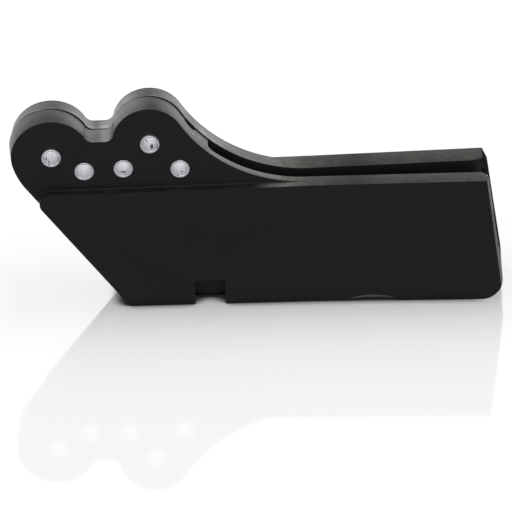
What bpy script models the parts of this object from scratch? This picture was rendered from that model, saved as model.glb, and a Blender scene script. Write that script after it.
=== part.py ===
# Motorcycle chain guide: two moulded halves that meet on a parting plane, clamped through five
# metal sleeves. The chain runs through the lower block along X, and the sprocket dips into the
# slot in the block's top. Front is -Y and up is +Z.
import math

import bmesh
import bpy
from mathutils import Matrix, Vector

MM = 0.001

# Side view, drawn from the flat underside of the block (z = 0)
BLOCK_HEIGHT = 54.1 * MM
HEEL_X = -53.1 * MM
HEEL_RADIUS = 3.4 * MM
END_TOP_X = 97.8 * MM
END_LEAN_DEG = 6.4
TOE_RADIUS = 8.5 * MM
FOOT_X = 60.0 * MM
FOOT_DROP = 1.45 * MM
FOOT_RAMP = 2.8 * MM

# Sleeve centres, left to right: x, and height above the top of the block
SLEEVE_CENTRES = (
    (-83.9 * MM, 15.5 * MM),
    (-70.3 * MM, 8.4 * MM),
    (-53.9 * MM, 8.9 * MM),
    (-42.5 * MM, 20.4 * MM),
    (-30.2 * MM, 7.9 * MM),
)

# The left lobe is centred on the first sleeve and flattens into the slanted edge
LEFT_LOBE_RADIUS = 16.7 * MM
SHOULDER_RADIUS = 32.0 * MM
SHOULDER_START_DEG = 198.0
RIGHT_LOBE_X = -42.85 * MM
RIGHT_LOBE_RISE = 21.25 * MM
RIGHT_LOBE_RADIUS = 15.3 * MM
VALLEY_RISE = 22.0 * MM
VALLEY_LEFT_FILLET = 4.0 * MM
VALLEY_RIGHT_FILLET = 3.5 * MM
SWEEP_RADIUS = 61.0 * MM

# Thicknesses, measured along Y from the parting plane
FRONT_EAR = 11.7 * MM
FRONT_PAD = 4.1 * MM
REAR_EAR = 8.0 * MM
REAR_PAD = 3.2 * MM
PARTING_GAP = 0.3 * MM

# The rear half sits a little out of line, and the front half's left lobe swells towards it
REAR_SHIFT = 0.5 * MM
LOBE_SWELL = 0.7 * MM

# The ledge between ear and block, and the block's rounded rim
LEDGE_DROP = 0.3 * MM
LEDGE_RISE_X = -20.0 * MM
LEDGE_FILLET = 1.9 * MM
PAD_CORNER_RADIUS = 4.4 * MM
CORNER_RUNOUT_DEG = 10.0
RIM_RADIUS = 1.8 * MM

# The walls spread towards the sprocket end
SPREAD_START_X = 24.0 * MM
SPREAD_DEG = 1.28

# Sprocket slot through the lips, and the chain tunnel under them
SLOT_START_X = -19.2 * MM
SLOT_WIDTH = 7.6 * MM
SLOT_END_RADIUS = 2.4 * MM
TUNNEL_FLOOR = 15.5 * MM
TUNNEL_HEIGHT = 21.0 * MM
TUNNEL_CORNER = 2.0 * MM
FRONT_WALL = 4.3 * MM
REAR_WALL = 4.7 * MM
ENTRY_LENGTH = 6.0 * MM
ENTRY_FLARE = 1.4 * MM

# Rounded mouth of the slot at the sprocket end
FRONT_MOUTH_LENGTH = 3.0 * MM
FRONT_MOUTH_FLARE = 2.7 * MM
REAR_MOUTH_LENGTH = 7.1 * MM
REAR_MOUTH_FLARE = 4.5 * MM

# Bottom notch and trimmed facet of the front half
NOTCH_X = -25.7 * MM
NOTCH_WIDTH = 12.8 * MM
NOTCH_HEIGHT = 10.8 * MM
NOTCH_DEPTH = 6.2 * MM
NOTCH_CORNER = 1.2 * MM
TRIM_START_X = 43.0 * MM
TRIM_LENGTH = 15.0 * MM
TRIM_TILT_DEG = 42.0
TRIM_CLIMB_DEG = 2.0
TRIM_DEPTH = 6.0 * MM

# Sleeves, and how far each one stands out of the front ear face
SLEEVE_RADIUS = 4.05 * MM
SLEEVE_WALL = 0.8 * MM
SLEEVE_SEAT_GAP = 0.3 * MM
FRONT_PROUD = (1.0 * MM, 0.5 * MM, 0.2 * MM, 1.2 * MM, 0.2 * MM)
REAR_PROUD = 0.2 * MM
SLEEVE_EDGE = 0.15 * MM

ARC_STEP_DEG = 4.0
EDGE_STEPS = 4
SLEEVE_SIDES = 48
SMOOTH_DEG = 25.0
SQUARE_ON = 0.9
OVERRUN = 2.0 * MM
TINY = 0.002 * MM

SPREAD = math.tan(math.radians(SPREAD_DEG))
END_SLOPE = math.tan(math.radians(END_LEAN_DEG))
FRONT_FACE = FRONT_EAR + FRONT_PAD
REAR_FACE = REAR_EAR + REAR_PAD


def polar(centre, radius, degrees):
    angle = math.radians(degrees)
    return (centre[0] + radius * math.cos(angle), centre[1] + radius * math.sin(angle))


def bearing(start, end):
    return math.degrees(math.atan2(end[1] - start[1], end[0] - start[0]))


def arc(centre, radius, start, end):
    """Points on an arc from one angle to the other, both in degrees."""
    steps = max(2, math.ceil(abs(end - start) / ARC_STEP_DEG))
    return [polar(centre, radius, start + (end - start) * i / steps) for i in range(steps + 1)]


def rounded(before, corner, after, radius):
    """The arc that rounds a corner between two straight lines."""
    centre_of = Vector(corner)
    back = (Vector(before) - centre_of).normalized()
    ahead = (Vector(after) - centre_of).normalized()
    half_angle = back.angle(ahead) / 2
    middle = (back + ahead).normalized()
    centre = centre_of + middle * (radius / math.sin(half_angle))
    touch = radius / math.tan(half_angle)
    start = bearing(centre, centre_of + back * touch)
    end = bearing(centre, centre_of + ahead * touch)
    turn = (end - start + 180) % 360 - 180
    return arc(centre, radius, start, start + turn)


def sleeve_centre(index):
    x, rise = SLEEVE_CENTRES[index]
    return (x, BLOCK_HEIGHT + rise)


def left_lobe():
    return sleeve_centre(0)


def right_lobe():
    return (RIGHT_LOBE_X, BLOCK_HEIGHT + RIGHT_LOBE_RISE)


def shoulder():
    """Centre of the flatter arc between the left lobe and the slanted edge."""
    return polar(left_lobe(), LEFT_LOBE_RADIUS - SHOULDER_RADIUS, SHOULDER_START_DEG)


def nose_angle():
    """Angle of the slanted left edge, which runs from the heel onto the shoulder arc."""
    heel = (HEEL_X, 0)
    reach = math.dist(heel, shoulder())
    return bearing(heel, shoulder()) + math.degrees(math.asin(SHOULDER_RADIUS / reach))


def end_x(z):
    """The right end leans outwards towards the foot."""
    return END_TOP_X + (BLOCK_HEIGHT - z) * END_SLOPE


def nose_x(z):
    """The slanted left edge's x at a height."""
    return HEEL_X + z / math.tan(math.radians(nose_angle()))


def heel_centre():
    """Centre of the rounded heel that touches the floor."""
    return (HEEL_X + HEEL_RADIUS / math.tan(math.radians(nose_angle() / 2)), HEEL_RADIUS)


def seat_angle():
    """The tilt at which the guide rests on its heel and on its foot."""
    heel = heel_centre()
    run = FOOT_X - heel[0]
    fall = heel[1] + FOOT_DROP
    return math.atan2(fall, run) - math.asin(HEEL_RADIUS / math.hypot(run, fall))


def foot_z(x):
    """The foot's sole is level with the floor once the guide stands tilted."""
    return -FOOT_DROP - (x - FOOT_X) * math.tan(seat_angle())


def underside():
    """Right end, foot, belly and heel, from the top right corner round to the slanted edge."""
    top_corner = (END_TOP_X, BLOCK_HEIGHT)
    toe_x = end_x(foot_z(END_TOP_X))
    toe = (toe_x, foot_z(toe_x))
    foot = (FOOT_X, -FOOT_DROP)
    ramp = (FOOT_X - FOOT_RAMP, 0)
    heel = (HEEL_X, 0)
    up_the_nose = polar(heel, BLOCK_HEIGHT, nose_angle())
    points = [top_corner]
    points += rounded(top_corner, toe, foot, TOE_RADIUS)
    points += [foot, ramp]
    points += rounded(ramp, heel, up_the_nose, HEEL_RADIUS)
    return points


def sweep_centre():
    lobe = right_lobe()
    z = BLOCK_HEIGHT + SWEEP_RADIUS
    reach = RIGHT_LOBE_RADIUS + SWEEP_RADIUS
    return (lobe[0] + math.sqrt(reach ** 2 - (z - lobe[1]) ** 2), z)


def valley_fillet(lobe, lobe_radius, fillet_radius, towards):
    """Centre of the fillet between a lobe and the flat of the valley."""
    z = BLOCK_HEIGHT + VALLEY_RISE + fillet_radius
    reach = lobe_radius + fillet_radius
    return (lobe[0] + towards * math.sqrt(reach ** 2 - (z - lobe[1]) ** 2), z)


def outline():
    """The full side view: rim end, lobes, valley, sprocket sweep and block."""
    left = left_lobe()
    right = right_lobe()
    dip = valley_fillet(left, LEFT_LOBE_RADIUS, VALLEY_LEFT_FILLET, 1)
    climb = valley_fillet(right, RIGHT_LOBE_RADIUS, VALLEY_RIGHT_FILLET, -1)
    sweep = sweep_centre()
    rim_end = BLOCK_HEIGHT + LEDGE_FILLET
    points = [(nose_x(rim_end), rim_end)]
    points += arc(shoulder(), SHOULDER_RADIUS, nose_angle() + 90, SHOULDER_START_DEG)
    points += arc(left, LEFT_LOBE_RADIUS, SHOULDER_START_DEG, bearing(left, dip))
    points += arc(dip, VALLEY_LEFT_FILLET, bearing(left, dip) + 180, 270)
    points += arc(climb, VALLEY_RIGHT_FILLET, 270, bearing(climb, right) + 360)
    points += arc(right, RIGHT_LOBE_RADIUS, bearing(climb, right) + 180, bearing(right, sweep))
    points += arc(sweep, SWEEP_RADIUS, bearing(right, sweep) + 180, 270)
    return points + underside()


def pad_corner():
    """Centre of the rounded corner where the ledge meets the slanted edge."""
    z = BLOCK_HEIGHT - LEDGE_DROP - PAD_CORNER_RADIUS
    return (nose_x(z) + PAD_CORNER_RADIUS / math.sin(math.radians(nose_angle())), z)


def spread_by(x):
    return SPREAD * max(0, x - SPREAD_START_X)


def spread_start(z):
    """The spread starts at the same x at every height."""
    return SPREAD_START_X


def build(name, bm):
    """A mesh object from a finished bmesh, shaded smooth on its round stretches."""
    bmesh.ops.remove_doubles(bm, verts=bm.verts, dist=TINY / 2)
    bmesh.ops.recalc_face_normals(bm, faces=bm.faces)
    mesh = bpy.data.meshes.new(name)
    bm.to_mesh(mesh)
    bm.free()
    mesh.shade_smooth()
    mesh.set_sharp_from_angle(angle=math.radians(SMOOTH_DEG))
    body = bpy.data.objects.new(name, mesh)
    bpy.context.collection.objects.link(body)
    return body


def helper(name, bm):
    """A body that only shapes another one."""
    body = build(name, bm)
    body.hide_render = True
    body.display_type = "WIRE"
    return body


def prism(points, y_start, y_end):
    """A side-view outline extruded along Y."""
    bm = bmesh.new()
    face = bm.faces.new([bm.verts.new((x, y_start, z)) for x, z in points])
    grown = bmesh.ops.extrude_face_region(bm, geom=[face])["geom"]
    moved = [item for item in grown if isinstance(item, bmesh.types.BMVert)]
    bmesh.ops.translate(bm, verts=moved, vec=(0, y_end - y_start, 0))
    return bm


def column(points, low, high):
    """A plan-view outline extruded along Z."""
    bm = bmesh.new()
    face = bm.faces.new([bm.verts.new((x, y, high)) for x, y in points])
    grown = bmesh.ops.extrude_face_region(bm, geom=[face])["geom"]
    moved = [item for item in grown if isinstance(item, bmesh.types.BMVert)]
    bmesh.ops.translate(bm, verts=moved, vec=(0, 0, low - high))
    return bm


def combine(body, operand, operation):
    step = body.modifiers.new(operand.name, "BOOLEAN")
    step.operation = operation
    step.object = operand
    step.solver = "MANIFOLD"


def swell(point):
    """How far the front half's left lobe swells out at the parting plane: most at its far left."""
    turn = bearing(left_lobe(), point) % 360
    if not 90 < turn < SHOULDER_START_DEG:
        return 0
    fade = min(1, (SHOULDER_START_DEG - turn) / (SHOULDER_START_DEG - 180))
    return -LOBE_SWELL * fade * math.cos(math.radians(turn))


def swollen_outline():
    """The front half's side view at the parting plane."""
    return [(x - swell((x, z)), z) for x, z in outline()]


def shifted(bm, distance):
    bmesh.ops.translate(bm, verts=bm.verts, vec=(distance, 0, 0))
    return bm


def blank(side, face_y):
    """One half at its full thickness, spread towards its end, with the block's rim rounded."""
    bm = prism(outline(), side * PARTING_GAP / 2, side * face_y)
    if side < 0:
        for vert in bm.verts:
            if abs(vert.co.y - side * PARTING_GAP / 2) < TINY:
                vert.co.x -= swell((vert.co.x, vert.co.z))
    geometry = bm.verts[:] + bm.edges[:] + bm.faces[:]
    start = Vector((SPREAD_START_X, 0, 0))
    bmesh.ops.bisect_plane(bm, geom=geometry, plane_co=start, plane_no=(1, 0, 0), dist=TINY)
    outer = {vert for vert in bm.verts if abs(vert.co.y - side * face_y) < TINY}
    for vert in outer:
        vert.co.y += side * spread_by(vert.co.x)
    rim = []
    for edge in bm.edges:
        on_outer = all(vert in outer for vert in edge.verts)
        is_seam = all(abs(face.normal.y) > SQUARE_ON for face in edge.link_faces)
        below_top = min(vert.co.z for vert in edge.verts) < BLOCK_HEIGHT - TINY
        if on_outer and below_top and not is_seam:
            rim.append(edge)
    bmesh.ops.bevel(bm, geom=rim, offset=RIM_RADIUS, segments=EDGE_STEPS, profile=0.5, affect="EDGES",
                    clamp_overlap=True)
    return bm


def recess(side, ear_y):
    """What thins the half to its ear plate above the ledge, with the ledge's fillet on its edge."""
    clear = 2 * (BLOCK_HEIGHT + LEFT_LOBE_RADIUS)
    runout = nose_angle() + 90 - CORNER_RUNOUT_DEG
    ledge = [(sweep_centre()[0], BLOCK_HEIGHT), (LEDGE_RISE_X, BLOCK_HEIGHT - LEDGE_DROP)]
    ledge += arc(pad_corner(), PAD_CORNER_RADIUS, 90, runout)
    ledge.append(polar(ledge[-1], clear, runout))
    bm = prism(ledge + [(ledge[-1][0], clear), (ledge[0][0], clear)], side * ear_y, side * clear)
    corners = [Vector((x, side * ear_y, z)) for x, z in ledge]
    inner_edges = []
    for edge in bm.edges:
        if all(min((vert.co - corner).length for corner in corners) < TINY for vert in edge.verts):
            inner_edges.append(edge)
    bmesh.ops.bevel(bm, geom=inner_edges, offset=LEDGE_FILLET, segments=EDGE_STEPS, profile=0.5,
                    affect="EDGES", clamp_overlap=True)
    return bm


def mouth(inner, flare, length, side):
    """Quarter of an ellipse that rounds one lip's inner edge at the sprocket end."""
    start = END_TOP_X - length
    start_y = inner + side * spread_by(start)
    steps = math.ceil(90 / (2 * ARC_STEP_DEG))
    points = []
    for i in range(steps + 1):
        angle = math.radians(90 * i / steps)
        points.append((start + length * math.sin(angle), start_y + side * flare * (1 - math.cos(angle))))
    return points


def front_slot():
    """Plan view of the sprocket slot: round at its start, spreading and flared at its mouth."""
    front = -SLOT_WIDTH
    points = rounded((SLOT_START_X, 0), (SLOT_START_X, front), (0, front), SLOT_END_RADIUS)
    points.append((SPREAD_START_X, front))
    points += mouth(front, FRONT_MOUTH_FLARE, FRONT_MOUTH_LENGTH, -1)
    past_end = END_TOP_X + OVERRUN
    points += [(past_end, points[-1][1]), (past_end, OVERRUN), (SLOT_START_X, OVERRUN)]
    return points


def rear_slot():
    """Plan view of the rear lip's spread and of its flared mouth."""
    inner = PARTING_GAP / 2
    lead = SPREAD_START_X - OVERRUN
    points = [(lead, inner - SPREAD * OVERRUN)]
    points += mouth(inner, REAR_MOUTH_FLARE, REAR_MOUTH_LENGTH, 1)
    past_end = END_TOP_X + OVERRUN
    points += [(past_end, points[-1][1]), (past_end, -OVERRUN), (lead, -OVERRUN)]
    return points


def tunnel(side, wall_y):
    """The chain tunnel's share in one half, flared at both of its ends."""
    low = TUNNEL_FLOOR
    high = TUNNEL_FLOOR + TUNNEL_HEIGHT
    over = ENTRY_FLARE * (1 + OVERRUN / ENTRY_LENGTH)
    stations = [
        (nose_x, -OVERRUN, over),
        (nose_x, ENTRY_LENGTH, 0),
        (spread_start, 0, 0),
        (end_x, -ENTRY_LENGTH, 0),
        (end_x, OVERRUN, over),
    ]
    bm = bmesh.new()
    loops = []
    for edge_x, shift, flare in stations:
        reach = wall_y + spread_by(edge_x(low) + shift) + flare
        floor = low - flare
        roof = high + flare
        section = [(-OVERRUN, floor)]
        section += rounded((0, floor), (reach, floor), (reach, roof), TUNNEL_CORNER)
        section += rounded((reach, floor), (reach, roof), (0, roof), TUNNEL_CORNER)
        section.append((-OVERRUN, roof))
        verts = [bm.verts.new((edge_x(z) + shift, side * y, z)) for y, z in section]
        loops.append([bm.edges.new((verts[i - 1], verts[i])) for i in range(len(verts))])
    for first, second in zip(loops, loops[1:]):
        bmesh.ops.bridge_loops(bm, edges=first + second)
    bmesh.ops.holes_fill(bm, edges=loops[0] + loops[-1], sides=0)
    bmesh.ops.triangulate(bm, faces=bm.faces)
    return bm


def notch():
    """The pocket in the front half's bottom edge, its back wall rounded into the underside."""
    right = NOTCH_X + NOTCH_WIDTH
    below = -FOOT_DROP - OVERRUN
    points = [(NOTCH_X, below)]
    points += rounded((NOTCH_X, below), (NOTCH_X, NOTCH_HEIGHT), (right, NOTCH_HEIGHT), NOTCH_CORNER)
    points += rounded((NOTCH_X, NOTCH_HEIGHT), (right, NOTCH_HEIGHT), (right, below), NOTCH_CORNER)
    points += [(right, below)]
    back = -FRONT_FACE + NOTCH_DEPTH
    bm = prism(points, -FRONT_FACE - OVERRUN, back)
    for i in range(EDGE_STEPS + 1):
        height = RIM_RADIUS * (1 - math.sin(math.pi / 2 * i / EDGE_STEPS))
        geometry = bm.verts[:] + bm.edges[:] + bm.faces[:]
        level = Vector((0, 0, height))
        bmesh.ops.bisect_plane(bm, geom=geometry, plane_co=level, plane_no=(0, 0, 1), dist=TINY)
    for vert in bm.verts:
        if abs(vert.co.y - back) < TINY:
            above = min(max(vert.co.z, 0), RIM_RADIUS)
            vert.co.y += RIM_RADIUS - math.sqrt(RIM_RADIUS ** 2 - (RIM_RADIUS - above) ** 2)
    return bm


def trim_facet():
    """The facet pared off the front half's bottom edge, deepening towards the foot."""
    bm = bmesh.new()
    bmesh.ops.create_cube(bm, size=1)
    bmesh.ops.translate(bm, verts=bm.verts, vec=(0.5, 0, -0.5))
    bmesh.ops.scale(bm, verts=bm.verts, vec=(TRIM_LENGTH, 2 * TRIM_DEPTH, TRIM_DEPTH))
    turn = Matrix.Rotation(-math.radians(TRIM_TILT_DEG), 4, "X")
    turn = turn @ Matrix.Rotation(-math.radians(TRIM_CLIMB_DEG), 4, "Y")
    start_y = -FRONT_FACE - spread_by(TRIM_START_X)
    past_rim = RIM_RADIUS * (math.sqrt(2) - 1) / math.sqrt(2)
    place = Matrix.Translation((TRIM_START_X, start_y + past_rim, past_rim))
    bmesh.ops.transform(bm, matrix=place @ turn, verts=bm.verts)
    return bm


def sleeve_hole(centre):
    """The seat that a sleeve passes through, open at both faces."""
    reach = FRONT_FACE + REAR_FACE
    radius = SLEEVE_RADIUS + SLEEVE_SEAT_GAP
    points = [polar(centre, radius, 360 * i / SLEEVE_SIDES) for i in range(SLEEVE_SIDES)]
    return prism(points, -reach, reach)


def plastic():
    material = bpy.data.materials.new("black_moulded_plastic")
    material.use_nodes = True
    shader = material.node_tree.nodes["Principled BSDF"]
    shader.inputs["Base Color"].default_value = (0.013, 0.014, 0.014, 1)
    shader.inputs["Roughness"].default_value = 0.42
    shader.inputs["Metallic"].default_value = 0.0
    return material


def bright_metal():
    material = bpy.data.materials.new("bright_sleeve_metal")
    material.use_nodes = True
    shader = material.node_tree.nodes["Principled BSDF"]
    shader.inputs["Base Color"].default_value = (0.72, 0.74, 0.76, 1)
    shader.inputs["Roughness"].default_value = 0.25
    shader.inputs["Metallic"].default_value = 1.0
    return material


def half(name, side, ear_y, pad_y, wall, shift):
    """One moulded half: its ear plate, its thick block and the chain's share of the inside."""
    face_y = ear_y + pad_y
    body = build(name, shifted(blank(side, face_y), shift))
    combine(body, helper(name + "_recess", shifted(recess(side, ear_y), shift)), "DIFFERENCE")
    combine(body, helper(name + "_tunnel", tunnel(side, face_y - wall)), "DIFFERENCE")
    return body


def sleeve(name, centre, proud):
    """A thin tube through both ear plates, which stands out of the front one."""
    front = -FRONT_EAR - proud
    rear = REAR_EAR + REAR_PROUD
    bore = SLEEVE_RADIUS - SLEEVE_WALL
    outer = SLEEVE_RADIUS
    profile = [
        (bore + SLEEVE_EDGE, front),
        (outer - SLEEVE_EDGE, front),
        (outer, front + SLEEVE_EDGE),
        (outer, rear - SLEEVE_EDGE),
        (outer - SLEEVE_EDGE, rear),
        (bore + SLEEVE_EDGE, rear),
        (bore, rear - SLEEVE_EDGE),
        (bore, front + SLEEVE_EDGE),
    ]
    bm = bmesh.new()
    verts = [bm.verts.new((radius, y, 0)) for radius, y in profile]
    edges = [bm.edges.new((verts[i - 1], verts[i])) for i in range(len(verts))]
    bmesh.ops.spin(bm, geom=verts + edges, cent=(0, 0, 0), axis=(0, 1, 0),
                   angle=math.tau, steps=SLEEVE_SIDES, use_merge=True)
    body = build(name, bm)
    body.location = (centre[0], 0, centre[1])
    return body


def seat():
    """The empty that carries every piece and stands the guide on the floor, centred."""
    turn = Matrix.Rotation(-seat_angle(), 4, "Y")
    sides = swollen_outline() + [(x + REAR_SHIFT, z) for x, z in outline()]
    turned = [turn @ Vector((x, 0, z)) for x, z in sides]
    low_x = min(point.x for point in turned)
    high_x = max(point.x for point in turned)
    low_z = min(point.z for point in turned)
    empty = bpy.data.objects.new("seat", None)
    bpy.context.collection.objects.link(empty)
    empty.rotation_euler.y = -seat_angle()
    empty.location = (-(low_x + high_x) / 2, (FRONT_FACE - REAR_FACE) / 2, -low_z)
    return empty


def make_guide():
    """Build both halves and the sleeves, and stand them on the floor."""
    for old in list(bpy.data.objects):
        bpy.data.objects.remove(old, do_unlink=True)
    front = half("front_half", -1, FRONT_EAR, FRONT_PAD, FRONT_WALL, 0)
    rear = half("rear_half", 1, REAR_EAR, REAR_PAD, REAR_WALL, REAR_SHIFT)
    slot_floor = TUNNEL_FLOOR + TUNNEL_HEIGHT / 2
    slot_top = 2 * BLOCK_HEIGHT
    combine(front, helper("front_slot", column(front_slot(), slot_floor, slot_top)), "DIFFERENCE")
    combine(rear, helper("rear_slot", column(rear_slot(), slot_floor, slot_top)), "DIFFERENCE")
    combine(front, helper("notch", notch()), "DIFFERENCE")
    combine(front, helper("trim_facet", trim_facet()), "DIFFERENCE")
    black = plastic()
    bright = bright_metal()
    for body in (front, rear):
        body.data.materials.append(black)
    for index in range(len(SLEEVE_CENTRES)):
        centre = sleeve_centre(index)
        hole = helper("sleeve_hole_%d" % (index + 1), sleeve_hole(centre))
        for body in (front, rear):
            combine(body, hole, "DIFFERENCE")
        tube = sleeve("sleeve_%d" % (index + 1), centre, FRONT_PROUD[index])
        tube.data.materials.append(bright)
    carrier = seat()
    for body in bpy.data.objects:
        if body != carrier:
            body.parent = carrier


make_guide()
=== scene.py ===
import math

import bmesh
import bpy
from mathutils import Matrix, Vector, noise


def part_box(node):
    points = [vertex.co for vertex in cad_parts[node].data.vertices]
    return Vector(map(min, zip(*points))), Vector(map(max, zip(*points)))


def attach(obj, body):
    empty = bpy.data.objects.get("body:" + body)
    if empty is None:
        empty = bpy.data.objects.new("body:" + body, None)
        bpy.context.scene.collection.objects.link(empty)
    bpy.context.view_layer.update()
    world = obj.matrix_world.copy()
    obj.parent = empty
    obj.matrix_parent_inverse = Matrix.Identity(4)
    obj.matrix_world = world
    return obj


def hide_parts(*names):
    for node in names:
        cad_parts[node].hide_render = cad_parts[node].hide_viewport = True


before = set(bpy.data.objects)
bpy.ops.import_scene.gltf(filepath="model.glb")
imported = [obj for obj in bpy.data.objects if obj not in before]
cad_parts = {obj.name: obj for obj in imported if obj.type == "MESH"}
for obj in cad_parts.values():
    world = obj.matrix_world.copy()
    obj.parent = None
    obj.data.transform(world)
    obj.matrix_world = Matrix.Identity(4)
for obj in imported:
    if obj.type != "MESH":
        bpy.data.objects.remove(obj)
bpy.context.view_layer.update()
mm = 0.001
weld = 0.001 * mm   # points closer than this become one
samePlace = 0.01 * mm   # and places closer than this count as the same
print("frame loaded")

# How the guide stands: its own drawing is level, and the seat tilts it onto heel and foot
seat = {
    "tiltDeg": 0.745498,
    "shift": (-0.639 * mm, 2.3 * mm, 0.669 * mm),
}
seatMatrix = Matrix.Translation(seat["shift"]) @ Matrix.Rotation(-math.radians(seat["tiltDeg"]), 4, "Y")


# A place given in the guide's own drawing, in millimetres, once the guide is seated
def seated(x, y, z):
    return seatMatrix @ (Vector((x, y, z)) * mm)


# Side view of both halves, from the block's underside
side = {
    "top": 54.1 * mm,
    "heelX": -53.1 * mm,
    "heelRadius": 3.4 * mm,
    "endTopX": 97.8 * mm,
    "endLeanDeg": 6.4,
    "toeRadius": 8.5 * mm,
    "footX": 60.0 * mm,
    "footDrop": 1.45 * mm,
    "footRamp": 2.8 * mm,
    "leftLobeRadius": 16.7 * mm,
    "shoulderRadius": 32.0 * mm,
    "shoulderStartDeg": 198.0,
    "rightLobe": (-42.85 * mm, 75.35 * mm),
    "rightLobeRadius": 15.3 * mm,
    "valleyRise": 22.0 * mm,
    "valleyLeft": 4.0 * mm,
    "valleyRight": 3.5 * mm,
    "sweepRadius": 61.0 * mm,
    "noseDeg": 127.20337,
    "arcStep": 2.0,
}

# Each half: its thickness from the parting plane, its ledge, its wall and its place along the guide
halves = {
    "front": {"side": -1, "ear": 11.7 * mm, "pad": 4.1 * mm, "wall": 4.3 * mm, "shift": 0.0,
              "longer": 0.8 * mm, "node": "front_half"},
    "rear": {"side": 1, "ear": 8.0 * mm, "pad": 3.2 * mm, "wall": 4.7 * mm, "shift": 0.5 * mm,
             "longer": 0.0, "node": "rear_half"},
}
# What both halves share
body = {
    "partingGap": 0.3 * mm,
    "lobeSwell": 0.7 * mm,
    "ledgeDrop": 0.3 * mm,
    "ledgeRiseX": -20.0 * mm,
    "ledgeFillet": 1.9 * mm,
    "padCorner": 4.4 * mm,
    "rimRadius": 1.8 * mm,
    "rimFade": 20.0 * mm,
    "rimFadeSteps": 8,
    "rimFadeShare": 0.75,
    "spreadStartX": 24.0 * mm,
    "spreadDeg": 1.28,
    "edgeRadius": 0.28 * mm,
    "sharpDeg": 28,
    "smoothDeg": 32,
    "toeFrom": 70.0 * mm,
    "toeRise": 12.0 * mm,
}
# The chain's way through the block, and the sprocket's slot above it
channel = {
    "floor": 15.5 * mm,
    "height": 21.0 * mm,
    "corner": 2.0 * mm,
    "entryLength": 6.0 * mm,
    "entryFlare": 1.4 * mm,
    "slotStartX": -18.2 * mm,
    "slotWidth": 7.6 * mm,
    "slotEndRadius": 2.4 * mm,
    "frontMouth": (3.0 * mm, 2.7 * mm),
    "rearMouth": (7.1 * mm, 4.5 * mm),
    "mouthSteps": 12,
}
over = 3.0 * mm   # how far a cutter reaches past what it cuts
spread = math.tan(math.radians(body["spreadDeg"]))
sleeveNodes = ["sleeve_%d" % (i + 1) for i in range(5)]


def nodeCentre(node):
    low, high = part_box(node)
    return seatMatrix.inverted() @ ((low + high) / 2)


sleeveCentres = [nodeCentre(node) for node in sleeveNodes]
leftLobe = (sleeveCentres[0].x, sleeveCentres[0].z)
rightLobe = side["rightLobe"]


def polar(centre, radius, degrees):
    return (centre[0] + radius * math.cos(math.radians(degrees)),
            centre[1] + radius * math.sin(math.radians(degrees)))


def bearing(start, end):
    return math.degrees(math.atan2(end[1] - start[1], end[0] - start[0]))


def spreadBy(x):
    return spread * max(0, x - body["spreadStartX"])


def noseX(z):
    return side["heelX"] + z / math.tan(math.radians(side["noseDeg"]))


def endX(z):
    return side["endTopX"] + (side["top"] - z) * math.tan(math.radians(side["endLeanDeg"]))


def soleZ(x):
    return -side["footDrop"] - (x - side["footX"]) * math.tan(math.radians(seat["tiltDeg"]))


# A pen that draws outlines in a bmesh: straight runs, arcs by spin, and rounded corners
def startPen(point, plane):
    pen = {"bm": bmesh.new(), "plane": plane}
    pen["tip"] = pen["bm"].verts.new(penPlace(pen, point))
    return pen


def penPlace(pen, point):
    return (point[0], 0, point[1]) if pen["plane"] == "side" else (point[0], point[1], 0)


def penLine(pen, point):
    new = pen["bm"].verts.new(penPlace(pen, point))
    pen["bm"].edges.new((pen["tip"], new))
    pen["tip"] = new


def penArc(pen, centre, turnDeg, step=None):
    axis = (0, -1, 0) if pen["plane"] == "side" else (0, 0, 1)
    steps = max(2, math.ceil(abs(turnDeg) / (step or side["arcStep"])))
    made = bmesh.ops.spin(pen["bm"], geom=[pen["tip"]], cent=penPlace(pen, centre), axis=axis,
                          angle=math.radians(turnDeg), steps=steps)
    pen["tip"] = next(item for item in made["geom_last"] if isinstance(item, bmesh.types.BMVert))


def penCorner(pen, before, corner, after, radius):
    at = Vector(corner)
    back = (Vector(before) - at).normalized()
    ahead = (Vector(after) - at).normalized()
    half = back.angle(ahead) / 2
    centre = at + (back + ahead).normalized() * (radius / math.sin(half))
    start = at + back * (radius / math.tan(half))
    end = at + ahead * (radius / math.tan(half))
    penLine(pen, start)
    turn = (bearing(centre, end) - bearing(centre, start) + 180) % 360 - 180
    penArc(pen, centre, turn)


# Joins the outline's ends and fills it with one face
def penClose(pen):
    bm = pen["bm"]
    bmesh.ops.remove_doubles(bm, verts=bm.verts, dist=2 * weld)
    ends = [vert for vert in bm.verts if len(vert.link_edges) == 1]
    if ends:
        bm.edges.new(ends)
    bmesh.ops.edgeloop_fill(bm, edges=bm.edges)
    return bm


def everythingIn(bm):
    return bm.verts[:] + bm.edges[:] + bm.faces[:]


# Extrudes a flat outline between two places along Y or Z
def thicken(bm, start, end, axis):
    shift = Vector((0, 1, 0)) if axis == "Y" else Vector((0, 0, 1))
    bmesh.ops.translate(bm, verts=bm.verts, vec=shift * start)
    grown = bmesh.ops.extrude_face_region(bm, geom=bm.faces[:])["geom"]
    moved = [item for item in grown if isinstance(item, bmesh.types.BMVert)]
    bmesh.ops.translate(bm, verts=moved, vec=shift * (end - start))
    bmesh.ops.recalc_face_normals(bm, faces=bm.faces)
    return bm


def valleyFillet(lobe, lobeRadius, filletRadius, towards):
    z = side["top"] + side["valleyRise"] + filletRadius
    reach = lobeRadius + filletRadius
    return (lobe[0] + towards * math.sqrt(reach ** 2 - (z - lobe[1]) ** 2), z)


def sweepCentre():
    z = side["top"] + side["sweepRadius"]
    reach = side["rightLobeRadius"] + side["sweepRadius"]
    return (rightLobe[0] + math.sqrt(reach ** 2 - (z - rightLobe[1]) ** 2), z)


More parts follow.
